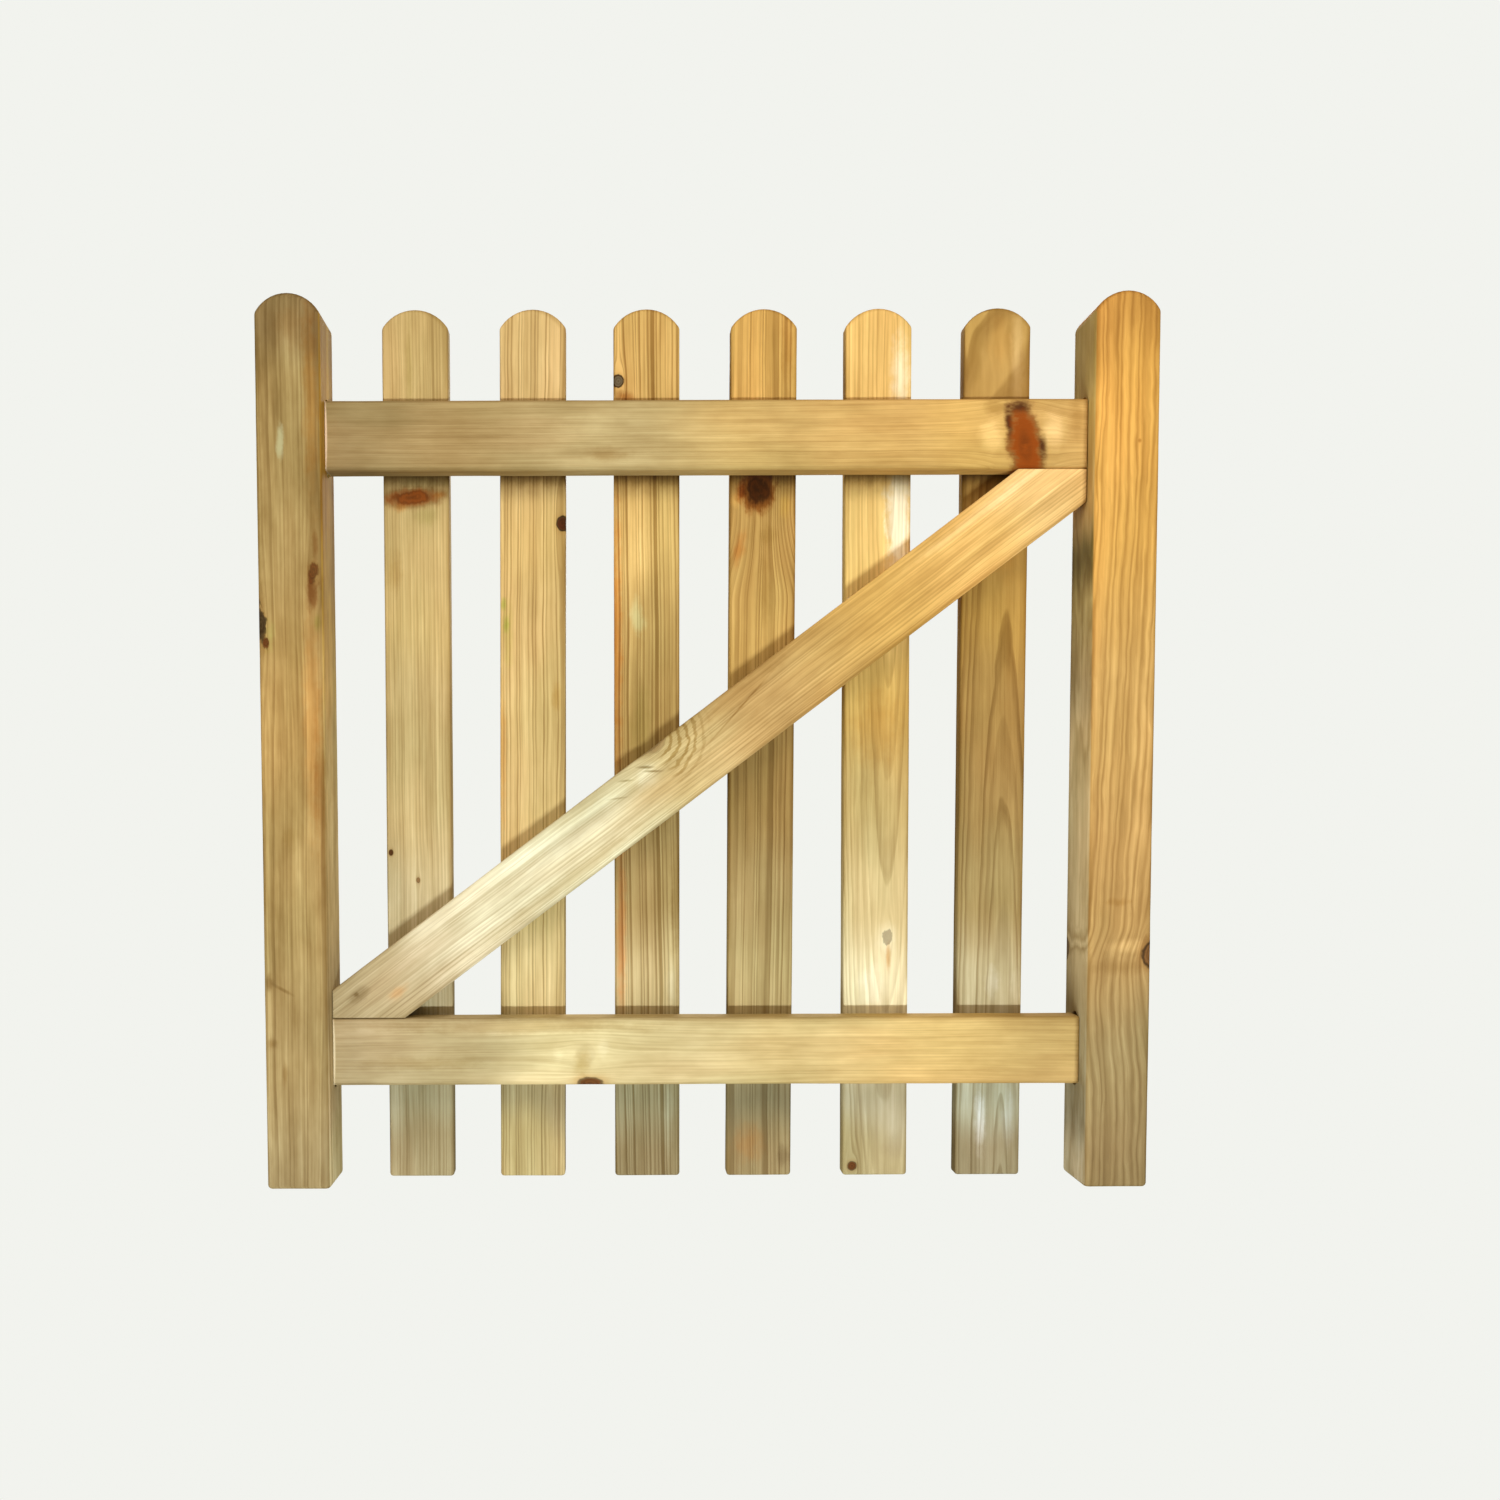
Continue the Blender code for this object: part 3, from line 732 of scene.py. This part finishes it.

# %% [markdown]
# The latch stile is golden at the top and olive at the foot, with wide, wavy rings.  Two
# knots sit on its arrises at the same height, and the rings kink between them.

# %% Latch stile
# Painted light and shade on the latch stile's inner side face, along its length.
LATCH_SIDE_SHADING = (
    (0.03, (2.15, 2.7, 4.3)), (0.08, (1.2, 1.5, 2.3)), (0.2, (1.16, 1.37, 1.87)),
    (0.3, (1.45, 1.95, 3.3)), (0.45, (1.4, 1.85, 3.1)), (0.52, (0.85, 1.12, 1.8)),
    (0.6, (0.78, 1.1, 1.7)), (0.66, (0.29, 0.4, 0.5)), (0.7, (0.88, 1.12, 1.8)),
    (0.84, (1.07, 1.62, 2.6)))
latch_skin = timber(
    "stile_latch", upright_place("stile_latch"), UPRIGHT, pith=(-0.210, -0.010), ring=0.0078,
    half=STILE_HALF, head=STILE_HEAD, lean=(0.030, 0.0), wander=0.014, grain=0.95, veins=0.4,
    seed=7.7, soft=0.7, edge=0.45, side_shading=LATCH_SIDE_SHADING, inner=-1.0,
    kinks=((0.272, 0.228, 0.009, 0.0), (0.215, 0.10, -0.006, 0.0)),
    knots=(spot(0.0325, 0.239, 0.0090, 0.0125, sweep=2.4, dark=0.2, colour=(0.24, 0.11, 0.035),
                rim=0.8),
           spot(-0.0325, 0.239, 0.010, 0.011, y=0.029, ry=0.008, flow=0.0, dark=0.5, cover=0.85,
                colour=(0.16, 0.08, 0.03), halo=0.2)),
    # Painted highlight: a pale band across the front face where the rings kink.
    stains_and_painted_light=(spot(0.006, 0.247, 0.028, 0.011, y=-0.03, ry=0.02, tilt=0.12, core=0.0,
                 colour=(1.5, 1.6, 1.8)),
            spot(0.000, 0.226, 0.040, 0.012, colour=(0.78, 0.72, 0.62)),
            spot(-0.002, 0.292, 0.020, 0.006, colour=(0.80, 0.70, 0.52), ragged=2.2, strength=0.7),
            spot(0.012, 0.752, 0.0025, 0.003, colour=(0.60, 0.45, 0.30))))
dress("stile_latch", latch_skin, foot=FOOT_RADIUS)

# %% [markdown]
# The rails lie level: their grain runs along X, so their log is turned a quarter turn.
# The top rail carries the most eye-catching knot of the gate, a red-brown one cut almost
# lengthwise, with dark bark on both sides of it and pale, swollen grain beyond.

# %% Top rail
LEVEL = (0.0, pi / 2, 0.0)
RAIL_HALF = 0.035
rail_top_skin = timber(
    "rail_top", tuple(middle("rail_top")), LEVEL, pith=(-0.160, 0.050), ring=0.0030,
    half=RAIL_HALF, lean=(0.004, 0.01), wander=0.005, grain=0.15, veins=0.34, mottle=0.34,
    seed=12.4, edge=0.35,
    knots=(spot(0.012, 0.3215, 0.040, 0.0155, tilt=0.14, sweep=2.2, flow=0.35,
                colour=(0.27, 0.055, 0.006), dark=0.06, rim=0.18, halo=0.75, halo_size=1.55,
                halo_colour=(0.50, 0.28, 0.12), turns=7.0, core=0.60, ragged=1.0),),
    stains_and_painted_light=(spot(-0.025, 0.2900, 0.012, 0.018, colour=(0.66, 0.60, 0.46)),
            spot(0.002, 0.2880, 0.022, 0.017, colour=(1.36, 1.46, 1.75), ragged=0.8, core=0.1,
                 strength=1.0),
            spot(-0.002, 0.3510, 0.025, 0.017, colour=(1.40, 1.52, 1.9), ragged=0.8, core=0.1,
                 strength=1.0),
            spot(-0.010, 0.3050, 0.026, 0.0060, tilt=0.14, cover=0.9, colour=(0.15, 0.060, 0.014),
                 strength=1.0, ragged=0.9),
            spot(-0.0260, 0.3160, 0.0110, 0.0170, cover=0.9, colour=(0.13, 0.052, 0.012),
                 strength=1.0, ragged=0.7),
            spot(0.014, 0.3395, 0.020, 0.0065, tilt=0.14, cover=0.85, colour=(0.13, 0.052, 0.013),
                 strength=1.0),
            spot(-0.014, 0.373, 0.026, 0.012, colour=(0.74, 0.68, 0.56)),
            spot(0.020, -0.10, 0.010, 0.035, colour=(0.74, 0.64, 0.50)),
            spot(-0.010, -0.12, 0.015, 0.045, colour=(1.15, 1.18, 1.25)),
            # Painted highlight: a pale line across the rail's left end, where its end arris
            # catches the light.
            spot(0.000, -0.3842, 0.045, 0.0026, ragged=0.1, core=0.5, colour=(0.84, 0.62, 0.42),
                 cover=1.0)))
dress("rail_top", rail_top_skin, LEVEL)

# %% [markdown]
# The bottom rail comes from another log, so it gets its own pith, seed and tones, while the
# turn and the width are those of the top rail.  Its small knot is two spots: a hard brown
# one on the arris, and a faint one beside it that only bends the grain.

# %% Bottom rail
rail_bottom_skin = timber(
    "rail_bottom", tuple(middle("rail_bottom")), LEVEL, pith=(-0.130, 0.060), ring=0.0034,
    half=RAIL_HALF, lean=(0.008, 0.01), wander=0.006, grain=0.14, veins=0.34, mottle=0.34,
    seed=21.9, edge=0.35,
    knots=(spot(0.0330, -0.120, 0.0060, 0.012, sweep=2.2, halo=0.6, halo_size=2.8, dark=0.3,
                colour=(0.16, 0.05, 0.012)),
           spot(0.004, -0.124, 0.012, 0.010, sweep=2.6, cover=0.12, flow=0.55,
                colour=(0.30, 0.18, 0.06), rim=0.0, halo=0.0)),
    stains_and_painted_light=(spot(0.012, -0.128, 0.018, 0.013, colour=(0.76, 0.66, 0.48)),
            spot(-0.004, -0.106, 0.014, 0.008, colour=(1.12, 1.16, 1.3)),
            spot(0.004, -0.152, 0.012, 0.008, colour=(1.12, 1.16, 1.25)),
            spot(-0.026, -0.20, 0.012, 0.20, colour=(0.78, 0.70, 0.58)),
            spot(0.012, -0.29, 0.010, 0.09, colour=(0.82, 0.76, 0.64)),
            # Painted highlight: a pale line across the rail's left end, where its end arris
            # catches the light.
            spot(0.000, -0.3842, 0.045, 0.0026, ragged=0.1, core=0.5, colour=(0.86, 0.74, 0.48),
                 cover=1.0)))
dress("rail_bottom", rail_bottom_skin, LEVEL)

# %% [markdown]
# The brace is the palest board, cream at its foot and golden at its head, with fine
# straight lines.  Halfway up, a branch once left the upper edge: the grain swirls round
# it and the arris has a dent.

# %% Brace
BRACE_SLOPE = radians(37.0)
SLANTED = (0.0, pi / 2 - BRACE_SLOPE, 0.0)
brace_middle = middle("brace")
BRACE_HALF = 0.034
DENT_RADIUS, DENT_DEPTH = 0.020, 0.0032
brace_skin = timber(
    "brace", tuple(brace_middle), SLANTED, pith=(-0.190, 0.020), ring=0.0036,
    half=BRACE_HALF, lean=(0.004, 0.02), wander=0.005, grain=0.34, veins=0.7, mottle=0.36,
    seed=33.3, edge=0.35,
    knots=(spot(-0.0360, -0.040, 0.010, 0.011, sweep=4.0, halo=0.0, colour=(0.30, 0.17, 0.07),
                rim=0.1, cover=0.4, arcs=8.2, ragged=0.9),),
    stains_and_painted_light=(spot(-0.010, -0.066, 0.016, 0.022, colour=(1.18, 1.28, 1.55)),
            spot(-0.020, -0.062, 0.0022, 0.013, tilt=-0.62, core=0.0, colour=(0.46, 0.40, 0.28),
                 ragged=0.6, strength=1.0),
            spot(-0.012, -0.058, 0.0020, 0.014, tilt=-0.62, core=0.0, colour=(0.46, 0.40, 0.28),
                 ragged=0.6, strength=1.0),
            spot(-0.021, -0.086, 0.0018, 0.012, tilt=-0.55, core=0.0, colour=(0.60, 0.56, 0.44),
                 ragged=0.6, strength=1.0),
            spot(-0.012, -0.104, 0.0016, 0.015, tilt=-0.5, core=0.0, colour=(0.66, 0.62, 0.52),
                 ragged=0.6, strength=1.0),
            spot(-0.010, -0.15, 0.016, 0.10, colour=(1.08, 1.14, 1.28)),
            spot(0.024, -0.20, 0.010, 0.18, colour=(0.86, 0.80, 0.70)),
            spot(0.010, -0.406, 0.008, 0.018, colour=(1.06, 0.78, 0.58)),
            spot(-0.012, -0.438, 0.011, 0.016, colour=(0.66, 0.62, 0.54)),
            spot(-0.014, -0.440, 0.0035, 0.004, colour=(0.55, 0.45, 0.32)),
            spot(-0.022, 0.062, 0.012, 0.080, tilt=0.10, core=0.4, colour=(0.84, 0.78, 0.68)),
            spot(-0.010, 0.050, 0.0016, 0.070, tilt=0.20, ragged=0.4, colour=(0.62, 0.52, 0.36)),
            spot(0.010, 0.03, 0.020, 0.08, colour=(0.90, 0.87, 0.82)),
            # Painted highlight: a pale, cool patch along the upper edge near the brace's head,
            # standing for sheen.
            spot(-0.020, 0.360, 0.007, 0.12, colour=(1.18, 1.28, 1.6))))
dent = brace_middle + Euler(SLANTED).to_matrix() @ Vector((-0.036, -0.012, -0.046))
dress("brace", brace_skin, SLANTED, dents=((dent, DENT_RADIUS, DENT_DEPTH),))

# %% [markdown]
# The six pickets come from six logs, so a table gives each its own pith, ring width and
# marks.  The first three have a resin arc, a tight dark knot on an arris, and an orange
# edge where the heartwood shows.

# %% Pickets one to three
PICKETS = {
    "picket_1": dict(
        pith=(-0.130, 0.030), ring=0.0034, grain=0.28, veins=0.75, seed=41.0,
        knots=(spot(-0.002, 0.7095, 0.031, 0.0100, tilt=0.06, flow=0.0,
                    colour=(0.25, 0.060, 0.009), dark=0.16, rim=0.12, halo=0.5, halo_size=1.7,
                    core=0.5, ragged=0.9),
               spot(-0.028, 0.343, 0.0022, 0.0030, sweep=3.0, dark=0.8),
               spot(0.0, 0.314, 0.0018, 0.0026, sweep=3.0, cover=0.6)),
        stains_and_painted_light=(spot(0.000, 0.7190, 0.022, 0.0014, ragged=0.4, colour=(1.5, 1.5, 1.6)),
                spot(-0.014, 0.700, 0.012, 0.007, colour=(0.98, 0.72, 0.46)),
                spot(0.024, 0.712, 0.010, 0.006, colour=(1.15, 0.72, 0.36)),
                spot(-0.022, 0.635, 0.012, 0.030, colour=(0.84, 0.76, 0.62)),
                spot(0.014, 0.690, 0.018, 0.014, colour=(0.80, 0.82, 0.68)),
                spot(-0.004, 0.84, 0.005, 0.08, colour=(0.84, 0.84, 0.72)))),
    "picket_2": dict(
        pith=(0.150, 0.010), ring=0.0047, grain=0.62, veins=0.6, seed=52.0, lean=(0.010, 0.0),
        knots=(spot(0.0330, 0.683, 0.0056, 0.0070, sweep=6.0, flow=1.4,
                    colour=(0.10, 0.018, 0.007), rim=0.9, halo=0.3, dark=0.5),),
        stains_and_painted_light=(spot(-0.028, 0.600, 0.005, 0.010, colour=(0.66, 0.90, 0.45)),
                spot(-0.026, 0.578, 0.006, 0.012, colour=(0.66, 0.90, 0.45)),
                spot(-0.024, 0.57, 0.008, 0.05, colour=(0.90, 1.0, 0.78)),
                spot(0.026, 0.505, 0.007, 0.024, colour=(0.84, 0.72, 0.50)),
                spot(-0.030, 0.45, 0.005, 0.12, colour=(1.05, 0.84, 0.62)),
                spot(0.000, 0.28, 0.040, 0.04, colour=(0.90, 0.92, 0.84)))),
    "picket_3": dict(
        pith=(-0.085, 0.035), ring=0.0040, grain=0.72, veins=0.75, seed=63.0, lean=(-0.012, 0.0),
        knots=(spot(-0.0285, 0.827, 0.0055, 0.0060, sweep=3.0, dark=0.35,
                    colour=(0.16, 0.13, 0.08), rim=0.95, halo=0.35),),
        stains_and_painted_light=(spot(-0.031, 0.560, 0.0085, 0.21, colour=(1.0, 0.66, 0.40), strength=0.95),
                spot(-0.027, 0.26, 0.0075, 0.13, colour=(1.15, 0.72, 0.50)),
                spot(-0.022, 0.811, 0.014, 0.009, tilt=-0.4, colour=(0.60, 0.36, 0.18)),
                spot(-0.009, 0.586, 0.011, 0.026, tilt=0.15, ragged=1.5, colour=(1.12, 1.45, 1.9),
                     strength=1.0),
                spot(0.000, 0.655, 0.020, 0.050, colour=(1.10, 1.14, 1.2)),
                spot(-0.006, 0.47, 0.018, 0.06, colour=(0.86, 0.92, 0.80)),
                spot(0.030, 0.29, 0.008, 0.09, colour=(0.72, 0.66, 0.52)),
                spot(0.026, 0.205, 0.008, 0.035, colour=(1.15, 1.25, 1.5)),
                spot(0.016, 0.40, 0.016, 0.06, colour=(0.80, 0.76, 0.66)),
                spot(0.022, 0.06, 0.010, 0.05, colour=(1.2, 1.3, 1.5)))),
}

# %% [markdown]
# The fourth picket has a big knot with an arch of grain below it, and the last two show
# the pointed arches of a board cut close to the pith.  All six carry painted shade just
# below the top rail, where the rail keeps the light off them, so that mark is written
# once.  Real pickets are nailed on by eye, so each also leans a little, by its own sway at
# the foot and at the head.

# %% Pickets four to six
PICKETS |= {
    "picket_4": dict(
        pith=(-0.072, 0.020), ring=0.0052, grain=0.62, veins=0.7, seed=74.0, lean=(0.010, 0.0),
        kinks=((0.60, 0.70, 0.0, 0.9), (0.735, 0.79, 0.0, -0.9)),
        knots=(spot(-0.0050, 0.7165, 0.0165, 0.0200, flow=0.25, colour=(0.090, 0.024, 0.005),
                    dark=0.72, rim=0.10, halo=0.95, halo_size=1.6, halo_colour=(0.60, 0.32, 0.12),
                    core=0.45, ragged=1.1),),
        stains_and_painted_light=(spot(-0.022, 0.716, 0.008, 0.016, colour=(0.85, 0.50, 0.22)),
                spot(-0.027, 0.706, 0.008, 0.012, colour=(1.35, 1.3, 1.2)),
                spot(0.024, 0.70, 0.010, 0.022, colour=(1.25, 1.25, 1.0)),
                spot(-0.024, 0.655, 0.009, 0.028, tilt=-0.25, colour=(0.92, 0.60, 0.36)),
                spot(0.006, 0.668, 0.012, 0.018, colour=(0.78, 0.74, 0.60)),
                spot(0.004, 0.62, 0.010, 0.06, colour=(0.84, 0.80, 0.70)),
                spot(0.026, 0.86, 0.010, 0.05, colour=(0.82, 0.70, 0.54)),
                spot(-0.006, 0.84, 0.012, 0.06, colour=(1.12, 1.10, 1.1)),
                spot(-0.012, 0.035, 0.022, 0.030, colour=(1.15, 0.84, 0.62)),
                spot(0.024, 0.020, 0.012, 0.018, colour=(0.62, 0.56, 0.50)))),
    "picket_5": dict(
        pith=(0.012, 0.030), ring=0.0050, grain=0.40, veins=0.45, seed=85.0, lean=(0.0, -0.047),
        knots=(spot(0.012, 0.253, 0.0050, 0.0062, sweep=3.0, halo=0.6, cover=0.55, ragged=2.6,
                    rim=0.3, halo_colour=(1.15, 1.25, 1.5), halo_size=4.0, dark=0.4,
                    colour=(0.20, 0.13, 0.06)),
               spot(-0.023, 0.010, 0.0045, 0.0045, sweep=2.6, dark=0.5)),
        stains_and_painted_light=(spot(0.021, 0.69, 0.017, 0.085, colour=(1.16, 1.50, 3.0), strength=1.0, core=0.3),
                spot(0.022, 0.83, 0.014, 0.06, colour=(1.14, 1.42, 2.6), strength=1.0),
                spot(0.014, 0.232, 0.0035, 0.020, colour=(0.78, 0.52, 0.32)),
                spot(-0.004, 0.20, 0.020, 0.030, colour=(1.1, 1.15, 1.3)),
                spot(0.000, 0.47, 0.034, 0.06, colour=(0.90, 0.78, 0.62)),
                spot(0.020, 0.030, 0.014, 0.02, colour=(0.86, 0.82, 0.78)))),
    "picket_6": dict(
        pith=(0.014, -0.0025), ring=0.0062, grain=0.65, veins=0.65,
        kinks=((0.735, 0.79, 0.0, -0.75),), seed=96.3, lean=(0.0, 0.045),
        stains_and_painted_light=(spot(0.022, 0.850, 0.009, 0.08, colour=(1.25, 1.35, 1.8)),
                spot(-0.022, 0.86, 0.012, 0.06, colour=(0.92, 0.90, 0.80)),
                spot(0.004, 0.87, 0.020, 0.04, colour=(1.12, 1.06, 1.0)),
                spot(0.014, 0.66, 0.020, 0.05, colour=(1.1, 1.02, 0.9)),
                # Painted highlights: whitish patches near 0.2 m and at the foot stand for glints
                # of light.
                spot(0.004, 0.205, 0.010, 0.022, colour=(1.25, 1.35, 1.7)),
                spot(0.028, 0.20, 0.010, 0.03, colour=(1.2, 1.25, 1.4)),
                spot(-0.008, 0.056, 0.009, 0.045, colour=(1.5, 1.6, 2.1), strength=1.0),
                spot(0.022, 0.06, 0.009, 0.04, colour=(1.2, 1.3, 1.6)))),
}
SWAY = {"picket_1": (0.0008, 0.0022), "picket_2": (-0.0014, 0.0036), "picket_3": (0.0, 0.0004),
        "picket_4": (-0.0022, 0.0016), "picket_5": (0.0008, -0.0006), "picket_6": (0.0, 0.0018)}
PICKET_HALF = 0.034
PICKET_HEAD = (0.86, 0.040)
# Painted shade: two dark patches on the front of each picket, just below the top rail.
PAINTED_RAIL_SHADE = (spot(0.0, 0.742, 0.30, 0.042, y=-0.009, ry=0.011, core=0.25, ragged=0.25,
                   colour=(0.46, 0.41, 0.32), strength=0.9),
              spot(0.0, 0.736, 0.30, 0.019, y=-0.009, ry=0.011, core=0.2, ragged=0.4,
                   colour=(0.28, 0.23, 0.15), strength=1.0))
for node, look in PICKETS.items():
    look["stains_and_painted_light"] += PAINTED_RAIL_SHADE
    skin = timber(node, upright_place(node), UPRIGHT, half=PICKET_HALF, head=PICKET_HEAD, **look)
    dress(node, skin, sway=SWAY[node])

# %% [markdown]
# The nails are only seen from the picket side: flat round heads, zinc-coated, sunk just
# below the wood.  A nail is a turned shape, so its outline is spun once round its axis.

# %% Galvanised nails
zinc = bpy.data.materials.new("galvanised_zinc")
zinc.use_nodes = True
zinc_tree = zinc.node_tree
zinc_shader = zinc_tree.nodes["Principled BSDF"]
zinc_shader.inputs["Metallic"].default_value = 0.85
zinc_coords = zinc_tree.nodes.new("ShaderNodeTexCoord")
spangle = zinc_tree.nodes.new("ShaderNodeTexVoronoi")
spangle.inputs["Scale"].default_value = 900.0
zinc_tree.links.new(zinc_coords.outputs["Object"], spangle.inputs["Vector"])
shade = zinc_tree.nodes.new("ShaderNodeValToRGB")
shade.color_ramp.elements[0].color = (0.30, 0.31, 0.32, 1.0)
shade.color_ramp.elements[1].color = (0.55, 0.56, 0.56, 1.0)
zinc_tree.links.new(spangle.outputs["Color"], shade.inputs[0])
zinc_tree.links.new(shade.outputs[0], zinc_shader.inputs["Base Color"])
feed(zinc_tree, maths(zinc_tree, "MULTIPLY_ADD", spangle.outputs["Distance"], 0.3, 0.38),
     zinc_shader.inputs["Roughness"])

NAIL_SIDES = 20
SHANK_SHARE = 0.42
NAIL_CREASE = radians(40)


def spun_nail(node):
    """A round nail in the room of its packed stand-in, driven along -Y."""
    low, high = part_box(node)
    head_r = (high[0] - low[0]) / 2
    length = high[1] - low[1]
    shank_r = head_r * SHANK_SHARE
    x, z = (low[0] + high[0]) / 2, (low[2] + high[2]) / 2
    outline = [(0, 0), (0.55 * head_r, -0.00004), (0.93 * head_r, -0.00022), (head_r, -0.00045),
               (0.96 * head_r, -0.0010), (shank_r, -0.0012), (shank_r, 2.4 * shank_r - length),
               (0, -length)]
    form = bmesh.new()
    line = [form.verts.new((r, y, 0.0)) for r, y in outline]
    edges = [form.edges.new(pair) for pair in zip(line, line[1:])]
    bmesh.ops.spin(form, geom=line + edges, cent=(0, 0, 0), axis=(0, 1, 0), angle=2 * pi,
                   steps=NAIL_SIDES, use_merge=True)
    bmesh.ops.remove_doubles(form, verts=form.verts, dist=1e-7)
    bmesh.ops.recalc_face_normals(form, faces=form.faces)
    bmesh.ops.translate(form, vec=(x, high[1], z), verts=form.verts)
    for face in form.faces:
        face.smooth = True
    for edge in form.edges:
        edge.smooth = edge.calc_face_angle(0.0) < NAIL_CREASE
    mesh = bpy.data.meshes.new(node + "_round")
    form.to_mesh(mesh)
    form.free()
    mesh.materials.append(zinc)
    piece = bpy.data.objects.new(node + "_round", mesh)
    bpy.context.scene.collection.objects.link(piece)
    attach(piece, "root")
    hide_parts(node)


nail_nodes = [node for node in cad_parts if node.startswith(("nail_", "pin_"))]
for node in nail_nodes:
    spun_nail(node)
print(len(nail_nodes), "nails")
